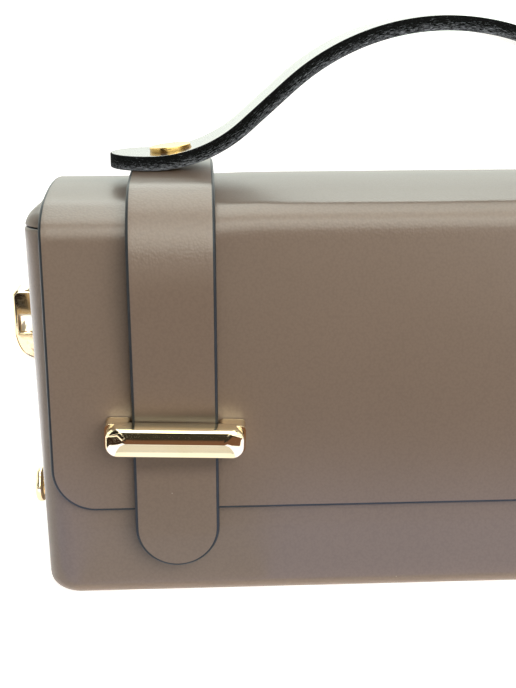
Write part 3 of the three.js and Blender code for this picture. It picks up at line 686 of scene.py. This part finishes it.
barLoop = {
    "x": 83, "height": 55.85, "flapFace": 37.8, "halfLength": 20.5, "legInset": 3.6,
    "sections": (  # out from the flap, half length, top, bottom, corner
        (4.6, 19.9, 3.75, -4.4, 3.0), (5.2, 20.5, 4.45, -5.0, 3.6), (8.3, 20.5, 4.35, -5.1, 3.6),
        (8.9, 20.45, 4.3, -5.05, 3.6), (9.3, 20.3, 4.22, -4.9, 3.5), (9.6, 20.0, 4.13, -4.6, 3.3),
        (9.9, 19.5, 4.0, -3.8, 2.9), (10.2, 18.8, 3.85, -2.8, 2.5), (10.45, 17.9, 3.65, -1.9, 2.0),
        (10.6, 17.1, 3.45, -1.3, 1.5), (10.66, 16.85, 3.25, -1.05, 1.3), (10.84, 15.5, 1.6, -0.45, 1.0),
        (10.88, 15.3, 1.4, -0.33, 0.8), (10.93, 14.1, 0.0, -0.2, 0.1)),
    "lean": {"left": 2.0, "right": 0},  # degrees, as it was fastened
    "legHalfWidth": 3.95, "legHalfHeight": 4.2, "legCorner": 1.5,
    "legSections": ((0.3, 0.1), (0.5, 0.1), (0.6, 0), (0.7, 0), (6.3, 0), (6.5, 0)),  # out, flange
    "postRadius": 1.5, "postDepth": 35.8, "postBite": 1,
}


def makeBarLoop(name, x, lean):
    b = barLoop
    rings = []
    for out, halfLength, top, bottom, corner in b["sections"]:
        outline = roundedRing(halfLength, (top - bottom) / 2, corner, 10, 12, 1)
        rings.append(np.column_stack([x + outline[:, 0], np.full(len(outline), -b["flapFace"] - out),
                                      b["height"] + (top + bottom) / 2 + outline[:, 1]]))
    parts = [skinRings(rings, [0] * len(rings))[:2]]
    for end in (-1, 1):
        middle = x + end * (b["halfLength"] - b["legInset"])
        leg = []
        for out, flange in b["legSections"]:
            outline = roundedRing(b["legHalfWidth"] + flange, b["legHalfHeight"] + flange,
                                  b["legCorner"], 6, 1, 1)
            leg.append(np.column_stack([middle + outline[:, 0], np.full(len(outline), -b["flapFace"] - out),
                                        b["height"] + outline[:, 1]]))
        parts.append(skinRings(leg, [0] * len(leg))[:2])
        rod = [(b["postRadius"], -b["postDepth"]), (b["postRadius"], -b["flapFace"] - b["postBite"])]
        post = [ring[:, (0, 2, 1)] + (middle, 0, b["height"]) for ring in lathe(rod, 24)]
        parts.append(skinRings(post, [0, 0])[:2])
    middle = np.array([x, 0, b["height"]])
    turn = np.array(Matrix.Rotation(math.radians(lean), 3, "Y"))
    parts = [((verts - middle) @ turn.T + middle, faces) for verts, faces in parts]
    loop = joinMeshes(name, parts, (gold,))
    evenFacets(loop)
    return loop


for side, sign in (("left", -1), ("right", 1)):
    loop = makeBarLoop(side + "_bar_loop", sign * barLoop["x"], barLoop["lean"][side])
    finishPiece(loop, "gold_plate", "bar_loop_" + side)

handleStud = {
    "x": 83.5, "radius": 6.45, "thickness": 2.0, "skirt": 0.9, "lean": 6, "stand": -0.4,
    "rimRound": 0.3, "rimSteps": 5, "dome": (2.0, 0.06), "shank": 2, "shankBite": (0.5, 0.9),
    "headRadius": 4.5, "headThickness": 1.3, "headTop": 120.7,
}


def makeHandleStud(name, sign):
    s = handleStud
    curveStart = handleCut["footX"] + handleCut["footRadius"] * math.tan(math.radians(handleCut["slope"]) / 2)
    rise = math.asin((curveStart - s["x"]) / handleCut["footRadius"])
    seat = handleCut["top"] + handleCut["footRadius"] * (1 - math.cos(rise))
    rim = [(s["radius"] - s["rimRound"] * (1 - math.cos(a)),
            s["thickness"] - s["rimRound"] * (1 - math.sin(a)))
           for a in np.linspace(0, math.pi / 2, s["rimSteps"] + 1)]
    foot = [(s["radius"] - s["rimRound"], -s["skirt"]), (s["radius"], s["rimRound"] - s["skirt"])]
    profile = foot + rim + [(s["dome"][0], s["thickness"] + s["dome"][1])]
    cap = skinRings(lathe(profile), [0] * len(profile))[:2]
    tilt = Matrix.Translation((sign * s["x"], 0, seat)) \
        @ Matrix.Rotation(sign * math.radians(s["lean"]), 4, "Y") \
        @ Matrix.Translation((0, 0, s["stand"]))
    cap = (np.array([tilt @ Vector(v) for v in cap[0]]), cap[1])
    shank = lathe([(s["shank"], s["headTop"] - s["shankBite"][0]),
                   (s["shank"], seat + s["stand"] + s["shankBite"][1])], 24)
    head = lathe([(s["headRadius"], s["headTop"] - s["headThickness"]), (s["headRadius"], s["headTop"])], 32)
    parts = [cap]
    for rings in (shank, head):
        parts.append(skinRings([ring + (sign * s["x"], 0, 0) for ring in rings], [0, 0])[:2])
    return joinMeshes(name, parts, (rivetGold,))


for side, sign in (("left", -1), ("right", 1)):
    finishPiece(makeHandleStud(side + "_handle_stud", sign), "gold_plate", "handle_stud_" + side)

sideLoop = {
    "wall": 126.175, "width": 10, "top": 92, "bottom": 68.5, "reach": 8.6, "plate": 2,
    "bevel": 0.85, "bevelSteps": 4, "corner": 1.6,
    "elbowBottom": 70, "elbowTop": 77.5, "elbowInset": 1, "holeBottom": 78.4, "holeTop": 83.4, "bar": 2.3,
    "postHeight": 81, "postRadius": 2, "postBite": 0.8, "postEnd": 0.3, "curveSteps": 12,
}


def quadratic(start, control, end, steps):
    shares = np.linspace(0, 1, steps + 1)[1:, None]
    return ((1 - shares) ** 2 * start + 2 * shares * (1 - shares) * control + shares ** 2 * end).tolist()


def makeSideLoop(name, sign):
    s = sideLoop
    wall, bevel = s["wall"], s["bevel"]
    seat, outer = wall + bevel, wall + s["reach"] - bevel
    bottom, top = s["bottom"] + bevel, s["top"] - bevel
    plate = wall + s["plate"] - bevel
    outline = [[seat, bottom], [plate, bottom]]
    outline += quadratic(np.array([plate, bottom]), np.array([outer - s["elbowInset"], s["elbowBottom"]]),
                         np.array([outer, s["elbowTop"]]), s["curveSteps"])
    outline.append([outer, top - s["corner"]])
    outline += quadratic(np.array([outer, top - s["corner"]]), np.array([outer, top]),
                         np.array([outer - s["corner"], top]), s["curveSteps"])
    outline.append([seat, top])
    holeOut = wall + s["reach"] - s["bar"] + bevel
    low, high = s["holeBottom"] - bevel, s["holeTop"] + bevel
    hole = [[plate, low], [plate, high], [holeOut, high], [holeOut, low]]
    shape = bpy.data.curves.new(name, "CURVE")
    shape.dimensions = "2D"
    shape.fill_mode = "BOTH"
    shape.extrude = (s["width"] / 2 - bevel) * mm
    shape.bevel_depth = bevel * mm
    shape.bevel_resolution = s["bevelSteps"]
    for line in (outline, hole):
        spline = shape.splines.new("POLY")
        spline.points.add(len(line) - 1)
        spline.use_cyclic_u = True
        for point, (across, up) in zip(spline.points, line):
            point.co = (across * mm, up * mm, 0, 1)
    drawn = bpy.data.objects.new(name + "_outline", shape)
    scene.collection.objects.link(drawn)
    mesh = bpy.data.meshes.new_from_object(drawn.evaluated_get(bpy.context.evaluated_depsgraph_get()))
    bpy.data.objects.remove(drawn)
    mesh.transform(Matrix.Rotation(math.pi / 2, 4, "X"))
    loopVerts = np.array([v.co for v in mesh.vertices]) / mm
    loopFaces = [tuple(p.vertices) for p in mesh.polygons]
    inside = wall - s["postEnd"] - bodyShell["wall"]
    post = [ring[:, (2, 1, 0)] + (0, 0, s["postHeight"])
            for ring in lathe([(s["postRadius"], inside), (s["postRadius"], wall + s["postBite"])], 24)]
    parts = [(loopVerts, loopFaces), skinRings(post, [0, 0])[:2]]
    parts = [(verts * (sign, 1, 1), faces) for verts, faces in parts]
    loop = joinMeshes(name, parts, (gold,))
    evenFacets(loop)
    return loop


for side, sign in (("left", -1), ("right", 1)):
    finishPiece(makeSideLoop(side + "_side_loop", sign), "gold_plate", "side_loop_" + side)

sideStud = {
    "height": 23.5, "wall": 124.702,
    "profile": (  # radius, out from the wall
        (1.6, -2.4), (1.6, 0.3), (4.2, 0.3), (4.4, 0.5), (4.4, 1.1), (4.25, 1.3), (3.1, 1.7),
        (2.8, 2.0), (2.8, 3.0), (3.1, 3.3), (5.0, 3.55), (5.6, 3.85), (5.95, 4.4), (6.0, 4.9),
        (5.95, 5.4), (5.7, 5.95), (5.25, 6.35), (4.0, 6.6), (1.5, 6.7)),
}


def makeSideStud(name, sign):
    rings = [np.column_stack([sign * (sideStud["wall"] + ring[:, 2]), ring[:, 1],
                              sideStud["height"] + ring[:, 0]])
             for ring in lathe(sideStud["profile"], 48)]
    return joinMeshes(name, [skinRings(rings, [0] * len(rings))[:2]], (gold,))


for side, sign in (("left", -1), ("right", 1)):
    finishPiece(makeSideStud(side + "_side_stud", sign), "gold_plate", "side_stud_" + side)


# Studio: white floor and backdrop, softboxes overhead and in front, and cards that only the bag sees

studio = {
    "floorHalf": 6000, "floorGlow": (0.8, 0.9), "floorFade": (500, 2500), "room": 0.3,
    "floorTone": "#f7f6f4", "floorGlowTone": "#fffdfa", "roomTone": "#ffffff",
    "backdropRadius": 5500, "backdropSides": 64, "backdropFoot": -10, "backdropHeight": 5500,
    "backdropGlow": (2.25, 1.42),  # in a band, and elsewhere
    "backdropBand": (1600, 250, 450),  # its height, how far from there it is full, and gone
    "sheenTint": "#f8fff6", "aim": (0, 0, 60),
    "softboxes": {  # place, size, radiance, lights the surfaces, shows in reflections
        "overhead sheen": ((0, 100, 900), (700, 800), 5.6, False, True),
        "rear sheen": ((0, 720, 760), (700, 420), 3.2, False, True),
        "high front sheen": ((150, -590, 810), (1100, 560), 3.9, False, True),
        "low front sheen": ((150, -910, 480), (1100, 560), 2.6, False, True),
        "key softbox": ((350, -950, 560), (1000, 900), 4.25, True, False),
    },
    "cards": {  # two opposite corners, tone, brightness, lights the surfaces, shows in reflections
        "near card": ((-125, -200, 2), (300, -130, 2), "#7a5a48", 1, True, True),
        "near left card": ((-330, -200, 2), (-125, -130, 2), "#3a2e28", 1, True, True),
        "left card": ((-330, -130, 2), (-190, -80, 2), "#2a2622", 1, True, True),
        "middle card": ((-160, -245, 2), (160, -200, 2), "#7a5a48", 1, True, True),
        "far card": ((-160, -3000, 2), (160, -245, 2), "#38352f", 1, True, True),
        "far left card": ((-400, -3000, 2), (-183, -281, 2), "#241f1b", 1, True, True),
        "tan strip": ((-183, -420, 2), (-160, -281, 2), "#b8a282", 1, True, True),
        "foot flag": ((-150, -130, 2), (150, -38, 2), "#8a8a88", 1, True, False),
        "shelf card": ((-115, -130, 3), (-55, -87, 3), "#eef0f0", 1, False, True),
        "shelf edge": ((-115, -87, 3), (-55, -83, 3), "#e8ecf0", 1, False, True),
        "shelf light": ((-115, -83, 3), (-55, -38, 3), "#f4faff", 1.4, False, True),
        "cool board": ((-190, -125, 2), (300, -38, 2), "#cfdcff", 2.2, False, True),
        "back left board": ((-600, 40, 2), (-130, 900, 2), "#ffffff", 2.8, False, True),
        "left flag": ((-650, -1400, 5), (-650, -350, 1000), "#1c1b1a", 1, True, True),
    },
}

floorMaterial, tree = newMaterial("white floor")
place = addNode(tree, "ShaderNodeTexCoord").outputs["Object"]
away = addNode(tree, "ShaderNodeVectorMath", {"operation": "LENGTH"}, {0: place})
glow = addNode(tree, "ShaderNodeMapRange", None,
               {"Value": away.outputs["Value"], "From Min": studio["floorFade"][0] * mm,
                "From Max": studio["floorFade"][1] * mm, "To Min": studio["floorGlow"][0],
                "To Max": studio["floorGlow"][1]})
floorSkin = addNode(tree, "ShaderNodeBsdfPrincipled", None,
                    {"Base Color": linear(studio["floorTone"]), "Roughness": 0.6,
                     "Emission Color": linear(studio["floorGlowTone"]),
                     "Emission Strength": glow.outputs["Result"]})
addNode(tree, "ShaderNodeOutputMaterial", None, {"Surface": floorSkin.outputs[0]})
far = studio["floorHalf"]
floor = makeObject("floor", np.array([(-far, -far, 0), (far, -far, 0), (far, far, 0), (-far, far, 0)]) * mm,
                   [(0, 1, 2, 3)], (floorMaterial,))

backdropMaterial, tree = newMaterial("white backdrop")
place = addNode(tree, "ShaderNodeTexCoord").outputs["Object"]
height = addNode(tree, "ShaderNodeSeparateXYZ", None, {0: place}).outputs["Z"]
bandHeight, bandFull, bandGone = studio["backdropBand"]
offBand = addNode(tree, "ShaderNodeMath", {"operation": "SUBTRACT"}, {0: height, 1: bandHeight * mm})
offBand = addNode(tree, "ShaderNodeMath", {"operation": "ABSOLUTE"}, {0: offBand.outputs[0]})
glow = addNode(tree, "ShaderNodeMapRange", None,
               {"Value": offBand.outputs[0], "From Min": bandFull * mm, "From Max": bandGone * mm,
                "To Min": studio["backdropGlow"][0], "To Max": studio["backdropGlow"][1]})
paper = addNode(tree, "ShaderNodeEmission", None,
                {"Color": linear(studio["sheenTint"]), "Strength": glow.outputs["Result"]})
addNode(tree, "ShaderNodeOutputMaterial", None, {"Surface": paper.outputs[0]})
turn = np.linspace(0, 2 * math.pi, studio["backdropSides"], endpoint=False)
verts = np.array([(studio["backdropRadius"] * math.cos(a), studio["backdropRadius"] * math.sin(a), z)
                  for z in (studio["backdropFoot"], studio["backdropHeight"]) for a in turn])
count = len(turn)
backdrop = makeObject("backdrop", verts * mm, [(i, (i + 1) % count, (i + 1) % count + count, i + count)
                                               for i in range(count)], (backdropMaterial,))
backdrop.visible_diffuse = backdrop.visible_shadow = False

for name, (low, high, tone, brightness, lighting, mirrored) in studio["cards"].items():
    cardMaterial, tree = newMaterial(name)  # seen from the bag's side only, so the floor under it stays lit
    geometry = addNode(tree, "ShaderNodeNewGeometry")
    board = addNode(tree, "ShaderNodeEmission", None, {"Color": linear(tone), "Strength": brightness})
    clear = addNode(tree, "ShaderNodeBsdfTransparent")
    oneSided = addNode(tree, "ShaderNodeMixShader", None,
                       {0: geometry.outputs["Backfacing"], 1: board.outputs[0], 2: clear.outputs[0]})
    addNode(tree, "ShaderNodeOutputMaterial", None, {"Surface": oneSided.outputs[0]})
    corners = [low, (high[0], low[1], low[2]), high, (low[0], high[1], high[2])]
    if low[0] == high[0]:
        corners = [low, (low[0], high[1], low[2]), high, (low[0], low[1], high[2])]
    card = makeObject(name.replace(" ", "_"), np.array(corners) * mm, [(0, 1, 2, 3)], (cardMaterial,))
    side = card.data.polygons[0]
    if side.normal.dot(Vector(studio["aim"]) * mm - side.center) < 0:
        card.data.flip_normals()
    card.visible_camera = card.visible_shadow = False
    card.visible_diffuse, card.visible_glossy = lighting, mirrored

for name, (place, size, radiance, lighting, mirrored) in studio["softboxes"].items():
    softbox = bpy.data.lights.new(name, "AREA")
    softbox.shape = "RECTANGLE"
    softbox.size, softbox.size_y = (s * mm for s in size)
    softbox.energy = radiance * math.pi * softbox.size * softbox.size_y
    softbox.color = linear(studio["sheenTint"])[:3] if mirrored else (1, 1, 1)
    hung = bpy.data.objects.new(name, softbox)
    hung.location = [c * mm for c in place]
    hung.rotation_euler = (Vector(place) - Vector(studio["aim"])).to_track_quat("Z", "Y").to_euler()
    hung.visible_camera = False
    hung.visible_diffuse, hung.visible_glossy = lighting, mirrored
    scene.collection.objects.link(hung)

world = bpy.data.worlds.new("white room")
world.use_nodes = True
world.node_tree.nodes.clear()
room = addNode(world.node_tree, "ShaderNodeBackground", None,
               {"Color": linear(studio["roomTone"]), "Strength": studio["room"]})
addNode(world.node_tree, "ShaderNodeOutputWorld", None, {"Surface": room.outputs[0]})
scene.world = world

# Camera: the photographed angle, solved for the bag's own edges in a 516 by 688 picture
view = {
    "place": (-73.656, -366.977, 180.277), "pitch": 16.49, "yaw": 2.705, "roll": -0.175,
    "focalPixels": 1163.058, "pictureHeight": 688,
}
lens = bpy.data.cameras.new("camera")
lens.sensor_width = 36
lens.lens = lens.sensor_width * view["focalPixels"] / view["pictureHeight"]
lens.clip_start, lens.clip_end = 0.01, 50
camera = bpy.data.objects.new("camera", lens)
scene.collection.objects.link(camera)
camera.matrix_world = Matrix.Translation([c * mm for c in view["place"]]) \
    @ Matrix.Rotation(-math.radians(view["yaw"]), 4, "Z") \
    @ Matrix.Rotation(math.radians(90 - view["pitch"]), 4, "X") \
    @ Matrix.Rotation(math.radians(view["roll"]), 4, "Z")
scene.camera = camera
scene.view_settings.view_transform = "Standard"
print("studio and camera set")
